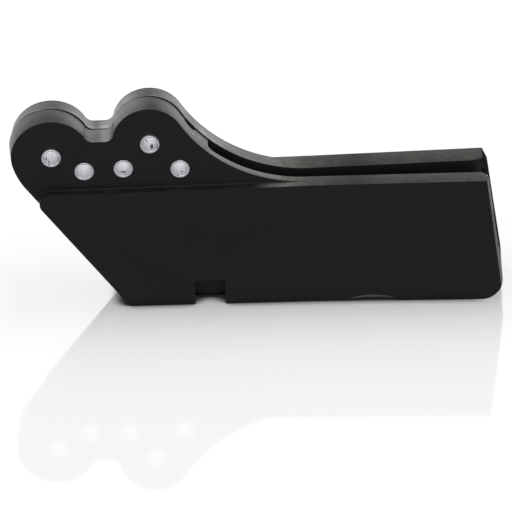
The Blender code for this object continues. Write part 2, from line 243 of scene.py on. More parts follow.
# The whole side view, drawn round from the rim's end on the slanted edge
def drawSide():
    dip = valleyFillet(leftLobe, side["leftLobeRadius"], side["valleyLeft"], 1)
    climb = valleyFillet(rightLobe, side["rightLobeRadius"], side["valleyRight"], -1)
    sweep = sweepCentre()
    rimEnd = side["top"] + body["ledgeFillet"]
    pen = startPen((noseX(rimEnd), rimEnd), "side")
    start = side["noseDeg"] + 90
    shoulder = polar(leftLobe, side["leftLobeRadius"] - side["shoulderRadius"], side["shoulderStartDeg"])
    penLine(pen, polar(shoulder, side["shoulderRadius"], start))
    penArc(pen, shoulder, side["shoulderStartDeg"] - start)
    penArc(pen, leftLobe, bearing(leftLobe, dip) - side["shoulderStartDeg"])
    penArc(pen, dip, 90 - bearing(leftLobe, dip))
    penLine(pen, (climb[0], side["top"] + side["valleyRise"]))
    penArc(pen, climb, bearing(climb, rightLobe) + 90)
    penArc(pen, rightLobe, bearing(rightLobe, sweep) - bearing(climb, rightLobe) - 180)
    penArc(pen, sweep, 90 - bearing(rightLobe, sweep))
    penLine(pen, (side["endTopX"], side["top"]))
    toeX = endX(soleZ(side["endTopX"]))
    foot = (side["footX"], -side["footDrop"])
    ramp = (side["footX"] - side["footRamp"], 0)
    penCorner(pen, (side["endTopX"], side["top"]), (toeX, soleZ(toeX)), foot, side["toeRadius"])
    penLine(pen, foot)
    penLine(pen, ramp)
    upNose = polar((side["heelX"], 0), side["top"], side["noseDeg"])
    penCorner(pen, ramp, (side["heelX"], 0), upNose, side["heelRadius"])
    return penClose(pen)


# How far the front half's left lobe swells out at the parting plane
def swell(x, z):
    turn = bearing(leftLobe, (x, z)) % 360
    if not 90 < turn < side["shoulderStartDeg"]:
        return 0
    fade = min(1, (side["shoulderStartDeg"] - turn) / (side["shoulderStartDeg"] - 180))
    return -body["lobeSwell"] * fade * math.cos(math.radians(turn))


# One half at full thickness, spread towards its end, with its rim rounded
def makeBlank(half):
    face = half["ear"] + half["pad"]
    inner = half["side"] * body["partingGap"] / 2
    bm = thicken(drawSide(), inner, half["side"] * face, "Y")
    if half["side"] < 0:
        for vert in bm.verts:
            if abs(vert.co.y - inner) < samePlace:
                vert.co.x -= swell(vert.co.x, vert.co.z)
    bmesh.ops.bisect_plane(bm, geom=everythingIn(bm), dist=weld, plane_no=(1, 0, 0),
                           plane_co=(body["spreadStartX"], 0, 0))
    outer = {vert for vert in bm.verts if abs(vert.co.y - half["side"] * face) < samePlace}
    for vert in outer:
        vert.co.y += half["side"] * spreadBy(vert.co.x)
    rim = [edge for edge in bm.edges if all(vert in outer for vert in edge.verts)
           and min(vert.co.z for vert in edge.verts) < side["top"] - samePlace
           and not all(abs(joined.normal.y) > 0.9 for joined in edge.link_faces)]
    bmesh.ops.bevel(bm, geom=rim, offset=body["rimRadius"], segments=6, profile=0.5, affect="EDGES",
                    material=-1, clamp_overlap=True)
    fadeEndRim(bm, half, face)
    for vert in bm.verts:
        if vert.co.x > body["toeFrom"]:
            vert.co.x += half["longer"] * min(1, max(0, vert.co.z / body["toeRise"]))
    bmesh.ops.translate(bm, verts=bm.verts, vec=(half["shift"], 0, 0))
    return bm


# Everything near the right end, which the fading rim needs in short lengths
def endGeometry(bm):
    faces = [item for item in bm.faces if item.calc_center_median().x > side["endTopX"] - over]
    return list({part for item in faces for part in [item] + item.edges[:] + item.verts[:]})


# The rim's rounding at the right end tapers off towards the sharp top corner
def fadeEndRim(bm, half, face):
    steps = body["rimFadeSteps"]
    for i in range(1, steps + 1):
        cutZ = side["top"] - body["rimFade"] * i / steps
        bmesh.ops.bisect_plane(bm, geom=endGeometry(bm), dist=weld, plane_no=(0, 0, 1), plane_co=(0, 0, cutZ))
    reach = 1.1 * body["rimRadius"]
    for vert in bm.verts:
        height = (vert.co.z - side["top"] + body["rimFade"]) / body["rimFade"]
        corner = Vector((endX(vert.co.z), half["side"] * (face + spreadBy(vert.co.x)), vert.co.z))
        if height > 0 and abs(vert.co.x - corner.x) < reach and abs(vert.co.y - corner.y) < reach:
            vert.co = vert.co.lerp(corner, body["rimFadeShare"] * min(1, height) ** 1.5)


# What thins a half to its ear plate above the ledge, with the fillet on its lower edge
def makeRecess(half):
    clear = 2.4 * side["top"]
    ledgeZ = side["top"] - body["ledgeDrop"]
    padZ = ledgeZ - body["padCorner"]
    corner = (noseX(padZ) + body["padCorner"] / math.sin(math.radians(side["noseDeg"])), padZ)
    runout = side["noseDeg"] + 80
    pen = startPen((sweepCentre()[0], side["top"]), "side")
    penLine(pen, (body["ledgeRiseX"], ledgeZ))
    penLine(pen, (corner[0], ledgeZ))
    penArc(pen, corner, runout - 90, 6)
    away = polar(pen["tip"].co.xz, clear, runout)
    penLine(pen, away)
    inner = [vert.co.copy() for vert in pen["bm"].verts]
    penLine(pen, (away[0], clear))
    penLine(pen, (sweepCentre()[0], clear))
    bm = thicken(penClose(pen), half["side"] * half["ear"], half["side"] * clear, "Y")
    for spot in inner:
        spot.y = half["side"] * half["ear"]
    lower = [edge for edge in bm.edges
             if all(min((vert.co - spot).length for spot in inner) < samePlace for vert in edge.verts)]
    bmesh.ops.bevel(bm, geom=lower, offset=body["ledgeFillet"], segments=8, profile=0.5, affect="EDGES",
                    material=-1, clamp_overlap=True)
    bmesh.ops.translate(bm, verts=bm.verts, vec=(half["shift"], 0, 0))
    return bm


# The chain's share of one half, flared at both ends
def makeTunnel(half):
    low, high = channel["floor"], channel["floor"] + channel["height"]
    reachIn = half["ear"] + half["pad"] - half["wall"]
    flareOut = channel["entryFlare"] * (1 + over / channel["entryLength"])
    stations = [(noseX, -over, flareOut), (noseX, channel["entryLength"], 0),
                (lambda z: body["spreadStartX"], 0, 0),
                (endX, -channel["entryLength"], 0), (endX, over, flareOut)]
    bm = bmesh.new()
    loops = []
    for edgeX, shift, flare in stations:
        reach = reachIn + spreadBy(edgeX(low) + shift) + flare
        pen = startPen((-over, low - flare), "plan")
        penCorner(pen, (0, low - flare), (reach, low - flare), (reach, high), channel["corner"])
        penCorner(pen, (reach, low), (reach, high + flare), (0, high + flare), channel["corner"])
        penLine(pen, (-over, high + flare))
        ring = []
        for vert in pen["bm"].verts:
            ring.append(bm.verts.new((edgeX(vert.co.y) + shift, half["side"] * vert.co.x, vert.co.y)))
        edges = [bm.edges.new((ring[a.index], ring[b.index])) for a, b in penEdges(pen)]
        edges.append(bm.edges.new((ring[0], ring[len(ring) - 1])))
        loops.append(edges)
    for first, second in zip(loops, loops[1:]):
        bmesh.ops.bridge_loops(bm, edges=first + second)
    bmesh.ops.holes_fill(bm, edges=loops[0] + loops[-1], sides=0)
    bmesh.ops.triangulate(bm, faces=bm.faces)
    bmesh.ops.recalc_face_normals(bm, faces=bm.faces)
    return bm


def penEdges(pen):
    pen["bm"].verts.index_update()
    return [(edge.verts[0], edge.verts[1]) for edge in pen["bm"].edges]


# A quarter ellipse that opens a lip at the sprocket end
def drawMouth(pen, inner, mouth, sign):
    length, flare = mouth
    startX = side["endTopX"] - length
    startY = inner + sign * spreadBy(startX)
    for i in range(channel["mouthSteps"] + 1):
        angle = math.radians(90 * i / channel["mouthSteps"])
        penLine(pen, (startX + length * math.sin(angle), startY + sign * flare * (1 - math.cos(angle))))
    return startY + sign * flare


# Plan of the sprocket slot in one half, raised into a cutter
def makeSlot(half):
    far = side["endTopX"] + over
    if half["side"] < 0:
        inner = -channel["slotWidth"]
        startX = channel["slotStartX"]
        pen = startPen((startX, over), "plan")
        penCorner(pen, (startX, 0), (startX, inner), (0, inner), channel["slotEndRadius"])
        penLine(pen, (body["spreadStartX"], inner))
        flared = drawMouth(pen, inner, channel["frontMouth"], -1)
        penLine(pen, (far, flared))
        penLine(pen, (far, over))
    else:
        inner = body["partingGap"] / 2
        lead = body["spreadStartX"] - over
        pen = startPen((lead, inner - spread * over), "plan")
        flared = drawMouth(pen, inner, channel["rearMouth"], 1)
        penLine(pen, (far, flared))
        penLine(pen, (far, -over))
        penLine(pen, (lead, -over))
    return thicken(penClose(pen), channel["floor"] + channel["height"] / 2, 2.2 * side["top"], "Z")


def meshFrom(bm, name):
    mesh = bpy.data.meshes.new(name)
    bm.to_mesh(mesh)
    bm.free()
    return mesh


def addObject(name, data):
    made = bpy.data.objects.new(name, data)
    bpy.context.scene.collection.objects.link(made)
    return made


def cutterFrom(bm, name):
    bmesh.ops.remove_doubles(bm, verts=bm.verts, dist=weld)
    bmesh.ops.recalc_face_normals(bm, faces=bm.faces)
    return addObject(name, meshFrom(bm, name))


# Cuts every cutter out of the blank and returns the result as a clean bmesh
def carve(blank, cutters):
    piece = cutterFrom(blank, "blank")
    for cutter in cutters:
        step = piece.modifiers.new("cut", "BOOLEAN")
        step.operation = "DIFFERENCE"
        step.solver = "MANIFOLD"
        step.object = cutter
    bpy.context.view_layer.update()
    shaped = bpy.data.meshes.new_from_object(piece.evaluated_get(bpy.context.evaluated_depsgraph_get()))
    bm = bmesh.new()
    bm.from_mesh(shaped)
    bpy.data.meshes.remove(shaped)
    for item in [piece] + cutters:
        old = item.data
        bpy.data.objects.remove(item)
        bpy.data.meshes.remove(old)
    bmesh.ops.remove_doubles(bm, verts=bm.verts, dist=samePlace)
    bmesh.ops.dissolve_degenerate(bm, dist=samePlace, edges=bm.edges)
    bmesh.ops.dissolve_limit(bm, angle_limit=math.radians(0.4), verts=bm.verts, edges=bm.edges)
    return bm


# Rounds the sharp outside edges, as a mould or a knife leaves them
def softenEdges(bm, radius):
    limit = math.radians(body["sharpDeg"])
    sharp = [edge for edge in bm.edges if edge.is_manifold and edge.calc_face_angle_signed() > limit]
    bmesh.ops.bevel(bm, geom=sharp, offset=radius, segments=2, profile=0.5, affect="EDGES", material=-1,
                    clamp_overlap=True)


# Seats the finished mesh, shades it and ties it to the frame
def finishPiece(bm, name, materials, node):
    bmesh.ops.transform(bm, matrix=seatMatrix, verts=bm.verts)
    mesh = meshFrom(bm, name)
    mesh.shade_smooth()
    mesh.set_sharp_from_angle(angle=math.radians(body["smoothDeg"]))
    piece = addObject(name, mesh)
    for material in materials:
        mesh.materials.append(material)
    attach(piece, "root")
    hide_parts(node)
    print(name, "made,", len(mesh.polygons), "faces")


# The pocket in the front half's bottom edge
notch = {"x": -25.7 * mm, "width": 12.8 * mm, "height": 10.8 * mm, "depth": 6.2 * mm, "corner": 1.2 * mm}


def makeNotch():
    face = halves["front"]["ear"] + halves["front"]["pad"]
    right = notch["x"] + notch["width"]
    below = -side["footDrop"] - over
    pen = startPen((notch["x"], below), "side")
    topLeft, topRight = (notch["x"], notch["height"]), (right, notch["height"])
    penCorner(pen, (notch["x"], below), topLeft, topRight, notch["corner"])
    penCorner(pen, topLeft, topRight, (right, below), notch["corner"])
    penLine(pen, (right, below))
    back = -face + notch["depth"]
    bm = thicken(penClose(pen), -face - over, back, "Y")
    radius = body["rimRadius"]
    for turnDeg in range(0, 91, 15):
        height = radius * (1 - math.sin(math.radians(turnDeg)))
        bmesh.ops.bisect_plane(bm, geom=everythingIn(bm), dist=weld, plane_no=(0, 0, 1),
                               plane_co=(0, 0, height))
    for vert in bm.verts:   # the back wall rolls over into the sole
        if abs(vert.co.y - back) < weld:
            above = min(max(vert.co.z, 0), radius)
            vert.co.y += radius - math.sqrt(radius ** 2 - (radius - above) ** 2)
    return bm


scoop = {"from": 37.0 * mm, "to": 57.2 * mm, "depth": 0.74 * mm, "tiltDeg": 60.0, "width": 24.0 * mm}


# A long shallow scoop pared from the bottom edge: a segment of a wide arc, tilted about that edge
def makeScoop():
    half = (scoop["to"] - scoop["from"]) / 2
    radius = (half ** 2 + scoop["depth"] ** 2) / 2 / scoop["depth"]
    turn = 2 * math.degrees(math.asin(half / radius))
    pen = startPen((half, 0), "side")
    penArc(pen, (0, scoop["depth"] - radius), turn, 2)
    penLine(pen, (-half, -over))
    penLine(pen, (half, -over))
    bm = thicken(penClose(pen), -scoop["width"] / 2, scoop["width"] / 2, "Y")
    middle = (scoop["from"] + scoop["to"]) / 2
    face = halves["front"]["ear"] + halves["front"]["pad"] + spreadBy(middle)
    lean = Matrix.Rotation(-math.radians(scoop["tiltDeg"]), 4, "X")
    bmesh.ops.transform(bm, matrix=Matrix.Translation((middle, -face, 0)) @ lean, verts=bm.verts)
    return bm


# A block of the given size, cut with; anchor says where its own middle lies, in shares of that size
def makeSlab(anchor, size):
    bm = bmesh.new()
    bmesh.ops.create_cube(bm, size=1)
    bmesh.ops.translate(bm, verts=bm.verts, vec=anchor)
    bmesh.ops.scale(bm, verts=bm.verts, vec=size)
    return bm


endBevel = {"topWidth": 0.55 * mm, "leanDeg": 5.7, "reach": 6.0 * mm}


# The bevel down the front half's end, which dies out in the rounded toe
def makeEndBevel():
    half = halves["front"]
    bm = makeSlab((0.5, 0, -0.5), (endBevel["reach"], 4 * endBevel["reach"], 2 * side["top"]))
    bmesh.ops.translate(bm, verts=bm.verts, vec=(0, 0, over))
    face = half["ear"] + half["pad"] + spreadBy(side["endTopX"])
    corner = (side["endTopX"] + half["longer"] - endBevel["topWidth"], -face, side["top"])
    lean = Matrix.Rotation(-math.radians(endBevel["leanDeg"]), 4, "Y")
    turn = lean @ Matrix.Rotation(-math.radians(45), 4, "Z")
    bmesh.ops.transform(bm, matrix=Matrix.Translation(corner) @ turn, verts=bm.verts)
    return bm


# Wear: the slanted cut at the rear lip's end (how far along and down it reaches), the hollow crushed
# into the front half's parting edge, and the burrs along it, each with its place, half lengths and turn
wear = {
    "endCut": (1.5 * mm, 4.6 * mm),
    "endSlab": (12 * mm, 80 * mm, 24 * mm),
    "lumps": 1.7,
    "hollowRoughness": 0.35,
    "burrRoughness": 0.5,
    "hollow": {"place": (-25.1, 0.4, 77.3), "size": (4.0, 3.3, 1.9), "turnDeg": 51.0},
    "burrs": [
        ((-20.3, 1.4, 71.45), (1.4, 0.5, 0.3), 44.0),
        ((-23.3, 0.7, 74.5), (1.2, 0.3, 0.25), 49.0),
        ((-24.2, -6.9, 75.6), (1.1, 0.35, 0.25), 50.0),
        ((-18.3, 1.0, 69.6), (0.7, 0.4, 0.28), 42.0),
        ((97.6, -12.3, 54.0), (0.42, 0.36, 0.36), 0.0),
    ],
}


def makeEndCut():
    across, down = wear["endCut"]
    shift = halves["rear"]["shift"]
    bm = makeSlab((0.5, 0, 0), wear["endSlab"])
    lean = math.atan2(across + down * math.tan(math.radians(side["endLeanDeg"])), down)
    turn = Matrix.Rotation(-lean, 4, "Y")
    place = Matrix.Translation((side["endTopX"] + shift - across, 0, side["top"]))
    bmesh.ops.transform(bm, matrix=place @ turn, verts=bm.verts)
    return bm


# A pebble with an uneven skin, laid along the surface: a burr, or the cutter of a hollow
def makePebble(bm, place, size, turnDeg, roughness):
    made = bmesh.ops.create_icosphere(bm, subdivisions=3, radius=1)["verts"]
    for vert in made:
        vert.co *= 1 + roughness * noise.noise(vert.co * wear["lumps"] + Vector(place))
    bmesh.ops.scale(bm, verts=made, vec=[length * mm for length in size])
    turn = Matrix.Rotation(math.radians(turnDeg), 4, "Y")
    bmesh.ops.transform(bm, matrix=Matrix.Translation(Vector(place) * mm) @ turn, verts=made)
    return made


def makeHollow():
    bm = bmesh.new()
    hollow = wear["hollow"]
    makePebble(bm, hollow["place"], hollow["size"], hollow["turnDeg"], wear["hollowRoughness"])
    return bm


def addBurrs(bm, half):
    for place, size, turnDeg in wear["burrs"]:
        if place[1] * half["side"] > 0:
            made = set(makePebble(bm, place, size, turnDeg, wear["burrRoughness"]))
            for item in bm.faces:
                if item.verts[0] in made:
                    item.material_index = 2


sleeve = {"radius": 4.05 * mm, "wall": 0.8 * mm, "sides": 96, "lip": 0.25 * mm, "fit": 0.12 * mm,
          "holeSides": 72, "holeReach": 40 * mm}


def makeSleeveHole(centre):
    bm = bmesh.new()
    bmesh.ops.create_circle(bm, cap_ends=True, segments=sleeve["holeSides"],
                            radius=sleeve["radius"] + sleeve["fit"])
    bmesh.ops.rotate(bm, verts=bm.verts, cent=(0, 0, 0), matrix=Matrix.Rotation(math.radians(90), 3, "X"))
    bmesh.ops.translate(bm, verts=bm.verts, vec=(centre.x, 0, centre.z))
    return thicken(bm, -sleeve["holeReach"], sleeve["holeReach"], "Y")


# Node groups that the materials share
def makeGroup(name, inputs, outputs):
    group = bpy.data.node_groups.new(name, "ShaderNodeTree")
    for label, kind, value in inputs:
        socket = group.interface.new_socket(name=label, in_out="INPUT", socket_type=kind)
        if value is not None:
            socket.default_value = value
    for label, kind in outputs:
        group.interface.new_socket(name=label, in_out="OUTPUT", socket_type=kind)
    return group, group.nodes.new("NodeGroupInput"), group.nodes.new("NodeGroupOutput")


def mathNode(tree, operation, *values):
    node = tree.nodes.new("ShaderNodeMath")
    node.operation = operation
    for i, value in enumerate(values):
        if isinstance(value, (int, float)):
            node.inputs[i].default_value = value
        else:
            tree.links.new(value, node.inputs[i])
    return node.outputs[0]


def rampNode(tree, value, low, high):
    node = tree.nodes.new("ShaderNodeMapRange")
    node.interpolation_type = "SMOOTHSTEP"
    tree.links.new(value, node.inputs["Value"])
    node.inputs["From Min"].default_value = low
    node.inputs["From Max"].default_value = high
    return node.outputs[0]


def noiseNode(tree, vector, scale, detail=3.0, roughness=0.55):
    node = tree.nodes.new("ShaderNodeTexNoise")
    tree.links.new(vector, node.inputs["Vector"])
    node.inputs["Scale"].default_value = scale
    node.inputs["Detail"].default_value = detail
    node.inputs["Roughness"].default_value = roughness
    return node.outputs["Fac"]


def stretched(tree, vector, scale):
    node = tree.nodes.new("ShaderNodeMapping")
    tree.links.new(vector, node.inputs["Vector"])
    node.inputs["Scale"].default_value = scale
    return node.outputs[0]


def axesOf(tree, vector):
    node = tree.nodes.new("ShaderNodeSeparateXYZ")
    tree.links.new(vector, node.inputs[0])
    return node.outputs


# How often each kind of mark repeats in a metre
grain = {"line": (60, 1500, 60), "spot": 420.0, "patch": 90.0, "patchShare": 0.8}


# Fine tooling streaks along the outline, with blotches: mask 0 to 1
def makeStreaks():
    group, entry, outlet = makeGroup("toolingStreaks", [
        ("Vector", "NodeSocketVector", None),
        ("Streak", "NodeSocketFloat", 1.0),
        ("Blotch", "NodeSocketFloat", 1.0),
    ], [("Mask", "NodeSocketFloat")])
    where, streak, blotch = (entry.outputs[i] for i in range(3))
    total = 0.5
    for mark, share in ((noiseNode(group, stretched(group, where, grain["line"]), 1.0, 4.0, 0.6), streak),
                        (noiseNode(group, where, grain["spot"], 5.0, 0.65), blotch),
                        (noiseNode(group, where, grain["patch"], 3.0, 0.5), grain["patchShare"])):
        uneven = mathNode(group, "MULTIPLY", mathNode(group, "SUBTRACT", mark, 0.5), share)
        total = mathNode(group, "ADD", total, uneven)
    group.links.new(total, outlet.inputs["Mask"])
    return group


# One soft-edged spot of any length, turned about Y: 1 inside, 0 outside
def makeSpot():
    group, entry, outlet = makeGroup("spotMask", [
        ("Vector", "NodeSocketVector", None),
        ("Place", "NodeSocketVector", None),
        ("Reach", "NodeSocketVector", None),
        ("Turn", "NodeSocketFloat", 0.0),
    ], [("Mask", "NodeSocketFloat")])
    where, place, reach, turn = (entry.outputs[i] for i in range(4))
    turned = group.nodes.new("ShaderNodeVectorRotate")
    turned.rotation_type = "Y_AXIS"
    group.links.new(vectorNode(group, "SUBTRACT", where, place), turned.inputs["Vector"])
    group.links.new(turn, turned.inputs["Angle"])
    shape = vectorNode(group, "DIVIDE", turned.outputs[0], reach)
    size = group.nodes.new("ShaderNodeVectorMath")
    size.operation = "LENGTH"
    group.links.new(shape, size.inputs[0])
    inside = mathNode(group, "SUBTRACT", 1.0, rampNode(group, size.outputs["Value"], 0.45, 1.0))
    group.links.new(inside, outlet.inputs["Mask"])
    return group


def vectorNode(tree, operation, first, second):
    node = tree.nodes.new("ShaderNodeVectorMath")
    node.operation = operation
    tree.links.new(first, node.inputs[0])
    tree.links.new(second, node.inputs[1])
    return node.outputs[0]


streaks = makeStreaks()
spotMask = makeSpot()


def newMaterial(name):
    material = bpy.data.materials.new(name)
    material.use_nodes = True
    tree = material.node_tree
    shader = tree.nodes["Principled BSDF"]
    where = tree.nodes.new("ShaderNodeTexCoord").outputs["Object"]
    return material, tree, shader, where


def useGroup(tree, group, where, **values):
    node = tree.nodes.new("ShaderNodeGroup")
    node.node_tree = group
    tree.links.new(where, node.inputs["Vector"])
    for label, value in values.items():
        node.inputs[label].default_value = value
    return node.outputs[0]


def mixColour(tree, factor, first, second):
    node = tree.nodes.new("ShaderNodeMix")
    node.data_type = "RGBA"
    tree.links.new(factor, node.inputs["Factor"])
    for index, colour in ((6, first), (7, second)):
        if isinstance(colour, tuple):
            node.inputs[index].default_value = (*colour, 1)
        else:
            tree.links.new(colour, node.inputs[index])
    return node.outputs[2]


def addRoughness(tree, shader, mask, least, rise):
    rough = mathNode(tree, "ADD", least, mathNode(tree, "MULTIPLY", mask, rise))
    tree.links.new(rough, shader.inputs["Roughness"])


def addBump(tree, shader, height, strength, distance):
    node = tree.nodes.new("ShaderNodeBump")
    node.inputs["Strength"].default_value = strength
    node.inputs["Distance"].default_value = distance
    tree.links.new(height, node.inputs["Height"])
    tree.links.new(node.outputs[0], shader.inputs["Normal"])


# The strongest of several soft spots (dust, scars, painted shade and painted highlights); each is place, half
# lengths and turn
def gatherSpots(tree, where, spots):
    total = None
    for place, reach, turnDeg in spots:
        mask = useGroup(tree, spotMask, where, Place=seated(*place), Reach=[length * mm for length in reach],
                        Turn=math.radians(-turnDeg))
        total = mask if total is None else mathNode(tree, "MAXIMUM", total, mask)
    return total


# Smooth black plastic as it left the mould, with a little haze, orange peel and dust on its face
plasticLook = {
    "dark": (0.0064, 0.0072, 0.0072),
    "light": (0.009, 0.0102, 0.0102),
    "level": 0.09,
    "roughness": (0.36, 0.14),
    "hazeScale": 22.0,
    "dullScale": 60.0,
    "peelScale": 900.0,
    "dustColour": (0.075, 0.08, 0.08),
    "dust": [(-50.7, 52.6), (-24.2, 48.8), (-10.8, 48.2), (-15.8, 41.0), (26.0, 41.5), (43.3, 40.0),
             (62.6, 49.2), (25.4, 31.7), (21.3, 35.2), (-51.1, 31.7), (-38.0, 22.0), (9.0, 17.0)],
    "earDust": [(-21.2, 65.4), (-97.0, 69.0)],
}


def moulded():
    material, tree, shader, where = newMaterial("mouldedPlastic")
    haze = noiseNode(tree, where, plasticLook["hazeScale"], 4.0, 0.5)
    specks = [((x, -15.8, z), (0.26, 1.6, 0.22), 25.0) for x, z in plasticLook["dust"]]
    specks += [((x, -11.7, z), (0.24, 0.6, 0.2), 0.0) for x, z in plasticLook["earDust"]]
    base = mixColour(tree, haze, plasticLook["dark"], plasticLook["light"])
    dusty = mixColour(tree, gatherSpots(tree, where, specks), base, plasticLook["dustColour"])
    tree.links.new(dusty, shader.inputs["Base Color"])
    addRoughness(tree, shader, noiseNode(tree, where, plasticLook["dullScale"]), *plasticLook["roughness"])
    shader.inputs["Specular IOR Level"].default_value = plasticLook["level"]
    addBump(tree, shader, noiseNode(tree, where, plasticLook["peelScale"], 2.0), 0.12, 0.02 * mm)
    return material


# Painted light and shade along the guide's length: a tone eased between a few places given in millimetres
def alongX(tree, where, lightStops):
    span = tree.nodes.new("ShaderNodeMapRange")
    low, high = lightStops[0][0], lightStops[-1][0]
    tree.links.new(axesOf(tree, where)[0], span.inputs["Value"])
    span.inputs["From Min"].default_value = low * mm
    span.inputs["From Max"].default_value = high * mm
    curve = tree.nodes.new("ShaderNodeValToRGB")
    tree.links.new(span.outputs[0], curve.inputs[0])
    curve.color_ramp.interpolation = "EASE"
    marks = curve.color_ramp.elements
    while len(marks) < len(lightStops):
        marks.new(0.5)
    for mark, (x, tone) in zip(marks, lightStops):
        mark.position = (x - low) / (high - low)
        mark.color = (tone, tone, tone, 1)
    grey = tree.nodes.new("ShaderNodeRGBToBW")
    tree.links.new(curve.outputs[0], grey.inputs[0])
    return grey.outputs[0]


# Plastic where it was sawn or trimmed: grey, streaked and mottled. Each face has its own copy, painted
# lighter or darker for how light falls on it, and along the guide the edges are painted dark on the lobes'
# crowns and light in the valley between them and down the sweep; the block's top is painted lightest where
# the sweep runs out into it
cutLooks = {
    "blockTopCut": {
        "colour": ((0.034, 0.033, 0.029), (0.094, 0.091, 0.081)), "level": 0.45, "roughness": 0.5,
        "streak": 0.6, "blotch": 2.1, "groove": 0.0, "across": (1.0, 1.0),
        "lightStops": [(-2, 0.15), (12, 1.0), (24, 0.5), (42, 0.3), (55, 0.45), (80, 0.5)],
        "dark": [((74.6, -11.4, 54.1), (1.3, 0.45, 1.0), 0.0), ((76.5, -12.6, 54.1), (1.1, 0.4, 1.0), 0.0),
                 ((78.2, -13.6, 54.1), (1.1, 0.35, 1.0), 0.0), ((93.2, -12.8, 54.1), (0.7, 0.5, 1.0), 0.0),
                 ((95.6, -14.2, 54.1), (0.8, 0.4, 1.0), 0.0), ((90.4, -14.6, 54.1), (0.6, 0.35, 1.0), 0.0)],
        "pale": [((98.0, -12.4, 54.1), (0.6, 0.5, 0.6), 0.0)],
    },
    "frontEdgeCut": {
        "colour": ((0.077, 0.075, 0.069), (0.208, 0.203, 0.189)), "level": 1.1, "roughness": 0.34,
        "streak": 0.8, "blotch": 1.1, "groove": 1.0, "across": (1.0, 1.0),
        "lightStops": [(-104, 0.4), (-86, 0.2), (-70, 0.65), (-66, 0.5), (-63, 0.9), (-59, 0.6), (-53, 0.55),
                  (-43, 0.2), (-31, 0.7), (14, 0.5)],
        # The first dark spot is painted shadow in the crushed hollow
        "dark": [((-25.4, -1.6, 77.1), (3.8, 1.9, 2.0), 51.0), ((-55.1, -0.9, 84.5), (0.7, 0.8, 1.0), 0.0)],
        "pale": [((-24.2, -6.9, 75.6), (1.3, 0.5, 0.9), 50.0), ((-54.6, -10.3, 85.2), (0.5, 0.45, 0.5), 0.0),
                 ((-21.6, -3.6, 72.7), (1.5, 0.35, 0.8), 46.0)],
    },
    "rearEdgeCut": {
        "colour": ((0.12, 0.117, 0.11), (0.32, 0.315, 0.304)), "level": 1.1, "roughness": 0.34,
        "streak": 0.8, "blotch": 1.1, "groove": 1.0, "across": (1.33, 0.67),
        "lightStops": [(-99, 0.65), (-83, 0.3), (-70, 0.95), (-66, 0.5), (-63, 1.05), (-55, 0.75), (-45, 0.25),
                  (-31, 0.85), (-26, 0.6), (-21, 0.85), (-4, 0.5), (14, 0.4)],
        "dark": [((-55.1, 0.4, 84.5), (0.7, 0.9, 1.0), 0.0)],
        "pale": [((-20.3, 2.2, 71.4), (1.9, 0.9, 0.9), 44.0), ((-23.3, 1.3, 74.5), (1.6, 0.7, 0.8), 49.0),
                 ((-18.2, 1.2, 69.5), (1.0, 0.7, 0.8), 42.0), ((-15.5, 1.0, 67.2), (2.6, 0.5, 0.8), 40.0)],
    },
}
# The front half's end, painted lighter to stand in for light it hardly catches
cutLooks["endFaceCut"] = {
    "colour": ((0.09, 0.088, 0.08), (0.2, 0.196, 0.184)), "level": 0.8, "roughness": 0.4,
    "streak": 0.5, "blotch": 1.0, "groove": 0.0, "tone": 0.66,
    "dark": [((100.5, -13.0, 36.0), (1.5, 0.3, 2.5), 0.0)],
    "pale": [((98.0, -12.4, 54.1), (0.6, 0.5, 0.6), 0.0)],
}
# The rear half's rough end
cutLooks["tornEnd"] = {
    "colour": ((0.006, 0.006, 0.006), (0.035, 0.035, 0.032)), "level": 0.0, "roughness": 0.9,
    "streak": 0.3, "blotch": 2.5, "groove": 0.0, "tone": 1.0,
    "dark": [((98.5, 6.0, 50.0), (1.0, 1.0, 1.0), 0.0)],
    "pale": [((98.0, 9.5, 51.0), (0.3, 0.5, 0.6), 0.0)],
}
# What all cut faces share: painted shade in the parting groove and along the rear half's outer edge, the
# least that is left of a darkened place, and the tone of painted highlights
cutShading = {
    "groove": (0.36 * mm, 0.62 * mm),
    "rim": (-1.2 * mm, 0.1 * mm),
    "rimShare": 0.75,
    "least": 0.08,
    "highlightTone": (0.42, 0.42, 0.42),
    "contrast": (0.15, 0.95),
    "roughnessRise": 0.12,
}


# Shade in the step beside the groove on the lobes' left flanks; each mark is turn and half width
def flankShade(lobe, radius, marks):
    shade = []
    for turnDeg, width in marks:
        x, z = polar(lobe, radius, turnDeg)
        shade.append(((x / mm, 0.1, z / mm), (3.0, width, 3.0), 0.0))
    return shade


leftFlank = ((116, 1.6), (124, 2.3), (132, 2.9), (140, 3.5), (148, 4.2), (158, 5.4), (168, 7.0))
rightFlank = ((134, 1.4), (144, 1.9), (154, 2.8), (164, 4.2))
cutLooks["rearEdgeCut"]["dark"] += flankShade(leftLobe, side["leftLobeRadius"], leftFlank)
cutLooks["rearEdgeCut"]["dark"] += flankShade(rightLobe, side["rightLobeRadius"], rightFlank)


# Painted shade in the groove and along the rim, from the distance to the parting plane
def edgeShade(tree, depth, share):
    ear = halves["rear"]["ear"]
    away = rampNode(tree, mathNode(tree, "ABSOLUTE", depth), *cutShading["groove"])
    groove = mathNode(tree, "SUBTRACT", 1.0, away)
    rim = rampNode(tree, depth, *(ear + reach for reach in cutShading["rim"]))
    return mathNode(tree, "MAXIMUM", mathNode(tree, "MULTIPLY", groove, share),
                    mathNode(tree, "MULTIPLY", rim, cutShading["rimShare"] * share))


# How light a face is painted: one tone, or painted light and shade that change along the guide and across its
# thickness
def toneOf(tree, where, depth, look):
    if "tone" in look:
        return look["tone"]
    across = tree.nodes.new("ShaderNodeMapRange")
    tree.links.new(depth, across.inputs["Value"])
    across.inputs["From Max"].default_value = halves["rear"]["ear"]
    across.inputs["To Min"].default_value, across.inputs["To Max"].default_value = look["across"]
    return mathNode(tree, "MULTIPLY", alongX(tree, where, look["lightStops"]), across.outputs[0])


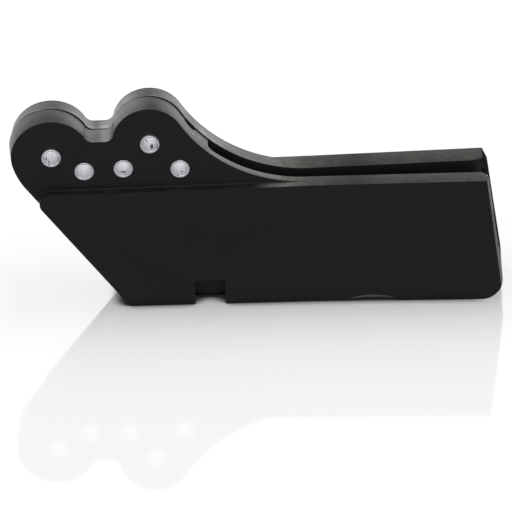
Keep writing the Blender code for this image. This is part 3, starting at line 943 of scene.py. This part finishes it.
def setGloss(tree, shader, tone, level):
    if isinstance(tone, float):
        shader.inputs["Specular IOR Level"].default_value = tone * level
    else:
        tree.links.new(mathNode(tree, "MULTIPLY", tone, level), shader.inputs["Specular IOR Level"])


# Painted shade and dark marks are nearly black and take the gloss away too: metal with a black base mirrors
# nothing
def cutFace(name):
    look = cutLooks[name]
    material, tree, shader, where = newMaterial(name)
    mask = useGroup(tree, streaks, where, Streak=look["streak"], Blotch=look["blotch"])
    mottled = mixColour(tree, rampNode(tree, mask, *cutShading["contrast"]), *look["colour"])
    depth = mathNode(tree, "SUBTRACT", axesOf(tree, where)[1], seat["shift"][1])
    tone = toneOf(tree, where, depth, look)
    spots = gatherSpots(tree, where, look["dark"])
    dirtAndShade = mathNode(tree, "MAXIMUM", edgeShade(tree, depth, look["groove"]), spots)
    kept = mathNode(tree, "MAXIMUM", mathNode(tree, "SUBTRACT", 1.0, dirtAndShade), cutShading["least"])
    shaded = tree.nodes.new("ShaderNodeVectorMath")
    shaded.operation = "SCALE"
    tree.links.new(mottled, shaded.inputs[0])
    tree.links.new(mathNode(tree, "MULTIPLY", kept, tone), shaded.inputs["Scale"])
    # Pale spots are painted highlights on the burrs and along the slot's edges
    highlighted = mixColour(tree, gatherSpots(tree, where, look["pale"]), shaded.outputs[0], cutShading["highlightTone"])
    tree.links.new(highlighted, shader.inputs["Base Color"])
    tree.links.new(mathNode(tree, "SUBTRACT", 1.0, kept), shader.inputs["Metallic"])
    setGloss(tree, shader, tone, look["level"])
    addRoughness(tree, shader, mask, look["roughness"], cutShading["roughnessRise"])
    addBump(tree, shader, mask, 0.35, 0.06 * mm)
    return material


# Camera at the photograph's angle, with its long lens and slight roll
view = {
    "elevationDeg": 28.0,
    "azimuthDeg": 0.8,
    "rollDeg": 1.06,
    "focalPixels": 19000.0,
    "pixel": 0.42 * mm,
    "sensor": 36.0,
    "imageWidth": 512,
    "aim": (-0.639 * mm, -9.4 * mm, 0.0),
    "aimPixel": (256.45, 298.4),
}

# Bright turned metal with scratches along the bore; marks are sleeve, offset seen across and down,
# and half lengths in millimetres
metalLook = {
    "rings": (220, 1300, 220),
    "drawn": (1100, 90, 1100),
    "drawnReach": (0.5, 0.75),
    "roughnessRise": 0.25,
    "scarColour": (0.07, 0.07, 0.08),
    "marks": [
        (1, -2.1, 0.0, (0.45, 1.6, 0.3)), (1, -1.0, 1.3, (0.5, 1.2, 0.3)), (1, -2.7, 1.5, (0.4, 1.0, 0.3)),
        (1, -1.0, 2.4, (0.5, 0.8, 0.3)), (1, 3.3, 0.6, (0.35, 1.6, 1.5)),
        (2, -0.5, 3.3, (0.6, 0.8, 0.25)), (2, 1.4, 2.9, (0.4, 0.8, 0.2)),
        (3, 0.0, 1.15, (1.9, 0.9, 0.5)), (3, 0.8, 2.0, (0.5, 0.6, 0.4)),
        (4, -2.2, -2.3, (0.5, 1.8, 0.35)), (4, -1.3, -1.9, (0.4, 1.5, 0.3)), (4, 0.9, 0.6, (0.9, 3.0, 0.6)),
        (4, 3.1, 0.8, (0.35, 1.8, 1.5)),
        (5, -1.1, 2.5, (0.9, 0.6, 0.3)), (5, 0.8, 1.0, (0.5, 1.0, 0.3)),
    ],
}


# Where the line of sight through a sleeve's mouth meets its lower wall, or its front lip
def boreSpot(number, across, down, reach):
    centre = sleeveCentres[number - 1]
    front = (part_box(sleeveNodes[number - 1])[0].y - seat["shift"][1]) / mm
    radius = (sleeve["radius"] - sleeve["wall"]) / mm
    rise = -down / math.cos(math.radians(view["elevationDeg"]))
    place = [centre.x / mm + across, front, centre.z / mm + rise]
    if math.hypot(across, rise) < radius:
        wall = -math.sqrt(radius ** 2 - across ** 2)
        place[1] += (rise - wall) / math.tan(math.radians(view["elevationDeg"]))
        place[2] = centre.z / mm + wall
    return tuple(place), reach, 0.0


def sleeveMetal(name, dull, bright, roughness):
    material, tree, shader, where = newMaterial(name)
    rings = noiseNode(tree, stretched(tree, where, metalLook["rings"]), 1.0, 3.0, 0.6)
    drawn = noiseNode(tree, stretched(tree, where, metalLook["drawn"]), 1.0, 3.0, 0.6)
    turned = mixColour(tree, rings, dull, bright)
    brushed = mixColour(tree, rampNode(tree, drawn, *metalLook["drawnReach"]), turned, dull)
    scars = gatherSpots(tree, where, [boreSpot(*mark) for mark in metalLook["marks"]])
    scarred = mixColour(tree, scars, brushed, metalLook["scarColour"])
    tree.links.new(scarred, shader.inputs["Base Color"])
    shader.inputs["Metallic"].default_value = 1.0
    addRoughness(tree, shader, rings, roughness, metalLook["roughnessRise"])
    addBump(tree, shader, rings, 0.25, 0.03 * mm)
    return material


plastic = moulded()
blockTop = cutFace("blockTopCut")
edgeCuts = {"front": cutFace("frontEdgeCut"), "rear": cutFace("rearEdgeCut")}
endFaces = {"front": cutFace("endFaceCut"), "rear": cutFace("tornEnd")}
boreMetal = sleeveMetal("sleeveBore", (0.8, 0.8, 0.84), (0.99, 0.99, 1.0), 0.3)
# The lips take a darker copy of the same metal: painted shade on the sleeves' ends
shadedLipMetal = sleeveMetal("sleeveLip", (0.2, 0.2, 0.215), (0.52, 0.52, 0.55), 0.35)
print("materials made")


# How near a place a face has to lie to take its finish
zones = {
    "frontEnd": 1.5 * mm,
    "rearEnd": 2.4 * mm,
    "scoopTop": 2.2 * mm,
    "aboveBlock": 0.8 * mm,
    "belowBlock": 0.4 * mm,
}


# Which faces of a half are moulded, and which were sawn or trimmed
def pickFinishes(bm, half):
    groove = body["partingGap"] / 2 + body["edgeRadius"]
    isFront = half["side"] < 0
    for item in bm.faces:
        middle = item.calc_center_median()
        depth = abs(middle.y)
        fromEnd = endX(middle.z) + half["longer"] - middle.x
        item.material_index = 0
        inScoop = scoop["from"] < middle.x < scoop["to"] and middle.z < zones["scoopTop"]
        faceDepth = half["ear"] + half["pad"] + spreadBy(middle.x)
        if item.normal.x > 0.5 and fromEnd < zones["frontEnd" if isFront else "rearEnd"]:
            item.material_index = 3
        elif isFront and inScoop and -0.95 < item.normal.y < -0.5 and depth < faceDepth - 0.05 * mm:
            item.material_index = 2
        elif abs(item.normal.y) > 0.5:
            continue
        elif middle.z > side["top"] + zones["aboveBlock"] and groove < depth < half["ear"] + 0.1 * mm:
            item.material_index = 2
        elif middle.z > side["top"] - zones["belowBlock"] and item.normal.z > 0.9:
            item.material_index = 1


def makeHalf(name):
    half = halves[name]
    cutters = [cutterFrom(makeRecess(half), "recess"), cutterFrom(makeTunnel(half), "tunnel"),
               cutterFrom(makeSlot(half), "slot")]
    cutters += [cutterFrom(makeSleeveHole(centre), "hole") for centre in sleeveCentres]
    if name == "front":
        cutters += [cutterFrom(makeNotch(), "notch"), cutterFrom(makeScoop(), "scoop"),
                    cutterFrom(makeEndBevel(), "endBevel"), cutterFrom(makeHollow(), "hollow")]
    else:
        cutters.append(cutterFrom(makeEndCut(), "endCut"))
    bm = carve(makeBlank(half), cutters)
    softenEdges(bm, body["edgeRadius"])
    pickFinishes(bm, half)
    addBurrs(bm, half)
    finishes = [plastic, blockTop, edgeCuts[name], endFaces[name]]
    finishPiece(bm, name + "Half", finishes, half["node"])


# A turned tube with rounded lips, spun about its own axis
def makeSleeve(index):
    centre = sleeveCentres[index]
    low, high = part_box(sleeveNodes[index])
    front = low.y - seat["shift"][1]
    rear = high.y - seat["shift"][1]
    lip, outer = sleeve["lip"], sleeve["radius"]
    bore = outer - sleeve["wall"]
    pen = startPen((bore, front + lip), "plan")
    penArc(pen, (bore + lip, front + lip), 90, 30)
    penLine(pen, (outer - lip, front))
    penArc(pen, (outer - lip, front + lip), 90, 30)
    penLine(pen, (outer, rear - lip))
    penArc(pen, (outer - lip, rear - lip), 90, 30)
    penLine(pen, (bore + lip, rear))
    penArc(pen, (bore + lip, rear - lip), 90, 30)
    bm = pen["bm"]
    bm.edges.new([vert for vert in bm.verts if len(vert.link_edges) == 1])
    bmesh.ops.spin(bm, geom=bm.verts[:] + bm.edges[:], cent=(0, 0, 0), axis=(0, 1, 0), angle=math.tau,
                   steps=sleeve["sides"], use_merge=True)
    bmesh.ops.remove_doubles(bm, verts=bm.verts, dist=weld)
    bmesh.ops.recalc_face_normals(bm, faces=bm.faces)
    bmesh.ops.translate(bm, verts=bm.verts, vec=(centre.x, 0, centre.z))
    for item in bm.faces:
        item.material_index = 1 if abs(item.normal.y) > 0.3 else 0
    finishPiece(bm, "sleeve%d" % (index + 1), [boreMetal, shadedLipMetal], sleeveNodes[index])


for name in halves:
    makeHalf(name)
for index in range(len(sleeveNodes)):
    makeSleeve(index)
print("pieces made")


def makeCamera():
    elevation, azimuth, roll = (math.radians(view[key]) for key in ("elevationDeg", "azimuthDeg", "rollDeg"))
    forward = Vector((math.sin(azimuth) * math.cos(elevation), math.cos(azimuth) * math.cos(elevation),
                      -math.sin(elevation)))
    level = Vector((math.cos(azimuth), -math.sin(azimuth), 0))
    upward = level.cross(forward)
    right = math.cos(roll) * level - math.sin(roll) * upward
    up = math.sin(roll) * level + math.cos(roll) * upward
    across, down = ((pixel - view["imageWidth"] / 2) * view["pixel"] for pixel in view["aimPixel"])
    centre = Vector(view["aim"]) - right * across + up * down
    camera = addObject("camera", bpy.data.cameras.new("camera"))
    camera.data.sensor_width = view["sensor"]
    camera.data.lens = view["focalPixels"] / view["imageWidth"] * view["sensor"]
    camera.data.clip_start, camera.data.clip_end = 1, 30
    turn = Matrix((right, up, -forward)).transposed().to_4x4()
    camera.matrix_world = Matrix.Translation(centre - forward * view["focalPixels"] * view["pixel"]) @ turn
    bpy.context.scene.camera = camera


makeCamera()

# Glossy white table: its mirror image of the guide fades with distance from it, and a contact shadow is
# painted where the guide stands on it
table = {
    "size": 12.0,
    "mirror": (0.13, 0.37),
    "fade": 27 * mm,
    "contactReach": 8 * mm,
    "contactRamp": (0.3, 0.84),
    "contactLeast": 0.03,
    "contactEnd": (84 * mm, 98 * mm),
    "roughness": 0.05,
    "shadowShare": 0.25,
    "grey": 0.85,
    "whiteness": 1.13,
    "halfLength": 100 * mm,
    "halfDepth": 14 * mm,
}


def mixShader(tree, share, first, second):
    node = tree.nodes.new("ShaderNodeMixShader")
    if isinstance(share, float):
        node.inputs[0].default_value = share
    else:
        tree.links.new(share, node.inputs[0])
    tree.links.new(first, node.inputs[1])
    tree.links.new(second, node.inputs[2])
    return node.outputs[0]


def mattShader(tree, grey):
    node = tree.nodes.new("ShaderNodeBsdfDiffuse")
    node.inputs["Color"].default_value = (grey, grey, grey, 1)
    return node.outputs[0]


# Rays that show the pale surroundings: the camera's, and those that metal and glass send on
def showingRays(tree, rays):
    seen = mathNode(tree, "MAXIMUM", rays.outputs["Is Camera Ray"], rays.outputs["Is Glossy Ray"])
    return mathNode(tree, "MAXIMUM", seen, rays.outputs["Is Transmission Ray"])


# How strongly the table mirrors: most beside the guide, fading away from it
def mirrorShare(tree, axes):
    away = []
    for axis, half in ((axes[0], table["halfLength"]), (axes[1], table["halfDepth"])):
        reach = mathNode(tree, "SUBTRACT", mathNode(tree, "ABSOLUTE", axis), half)
        away.append(mathNode(tree, "POWER", mathNode(tree, "MAXIMUM", reach, 0.0), 2.0))
    distance = mathNode(tree, "SQRT", mathNode(tree, "ADD", *away))
    decay = mathNode(tree, "EXPONENT", mathNode(tree, "DIVIDE", distance, -table["fade"]))
    far, near = table["mirror"]
    return mathNode(tree, "ADD", mathNode(tree, "MULTIPLY", decay, near), far)


# Painted contact shadow from occlusion: 1 on the open table, and nearly 0 in the line where the guide touches
# it, apart from the toe
def unshadedShare(tree, axes):
    nearby = tree.nodes.new("ShaderNodeAmbientOcclusion")
    nearby.inputs["Distance"].default_value = table["contactReach"]
    clear = rampNode(tree, nearby.outputs["AO"], *table["contactRamp"])
    clear = mathNode(tree, "MAXIMUM", clear, table["contactLeast"])
    return mathNode(tree, "MAXIMUM", clear, rampNode(tree, axes[0], *table["contactEnd"]))


def tableMaterial():
    material = bpy.data.materials.new("whiteTable")
    material.use_nodes = True
    tree = material.node_tree
    tree.nodes.clear()
    axes = axesOf(tree, tree.nodes.new("ShaderNodeTexCoord").outputs["Object"])
    white = tree.nodes.new("ShaderNodeEmission")
    white.inputs["Strength"].default_value = table["whiteness"]
    matt = mattShader(tree, table["grey"])
    mirror = tree.nodes.new("ShaderNodeBsdfGlossy")
    mirror.inputs["Roughness"].default_value = table["roughness"]
    shadowed = mixShader(tree, table["shadowShare"], white.outputs[0], matt)
    polished = mixShader(tree, mirrorShare(tree, axes), shadowed, mirror.outputs[0])
    contactShaded = mixShader(tree, unshadedShare(tree, axes), mattShader(tree, 0.0), polished)
    seen = showingRays(tree, tree.nodes.new("ShaderNodeLightPath"))
    out = tree.nodes.new("ShaderNodeOutputMaterial")
    tree.links.new(mixShader(tree, seen, matt, contactShaded), out.inputs["Surface"])
    return material


def makeTable():
    bm = bmesh.new()
    bmesh.ops.create_grid(bm, x_segments=1, y_segments=1, size=table["size"] / 2)
    floor = addObject("table", meshFrom(bm, "table"))
    floor.data.materials.append(tableMaterial())


makeTable()

# A white room, brighter in the gloss towards the front, and one large soft lamp above
light = {
    "worldSeen": 1.0,
    "worldLight": 0.55,
    "frontBoost": 1.2,
    "boostRise": (0.0, 0.35),
    "boostSide": (-0.2, 0.4),
    "overheadPower": 8.2,
    "overheadSize": 1.2,
    "overheadPlace": (-0.15, 0.05, 1.1),
}


def makeRoom():
    world = bpy.data.worlds.new("studio")
    bpy.context.scene.world = world
    world.use_nodes = True
    tree = world.node_tree
    rays = tree.nodes.new("ShaderNodeLightPath")
    strength = tree.nodes.new("ShaderNodeMapRange")
    strength.inputs["To Min"].default_value = light["worldLight"]
    strength.inputs["To Max"].default_value = light["worldSeen"]
    tree.links.new(showingRays(tree, rays), strength.inputs["Value"])
    axes = axesOf(tree, tree.nodes.new("ShaderNodeTexCoord").outputs["Generated"])
    raised = rampNode(tree, axes[2], *light["boostRise"])
    nearer = rampNode(tree, mathNode(tree, "MULTIPLY", axes[1], -1.0), *light["boostSide"])
    boost = mathNode(tree, "MULTIPLY", mathNode(tree, "MULTIPLY", raised, nearer), light["frontBoost"])
    boost = mathNode(tree, "MULTIPLY", boost, rays.outputs["Is Glossy Ray"])
    ground = tree.nodes["Background"]
    ground.inputs["Color"].default_value = (1, 1, 1, 1)
    tree.links.new(mathNode(tree, "ADD", strength.outputs[0], boost), ground.inputs["Strength"])


def makeLamp():
    lamp = bpy.data.lights.new("overhead", "AREA")
    lamp.energy = light["overheadPower"]
    lamp.shape = "SQUARE"
    lamp.size = light["overheadSize"]
    overhead = addObject("overhead", lamp)
    overhead.location = light["overheadPlace"]
    overhead.rotation_mode = "QUATERNION"
    overhead.rotation_quaternion = (-Vector(light["overheadPlace"])).to_track_quat("-Z", "Y")


makeRoom()
makeLamp()
bpy.context.scene.view_settings.view_transform = "Standard"

print("scene ready")
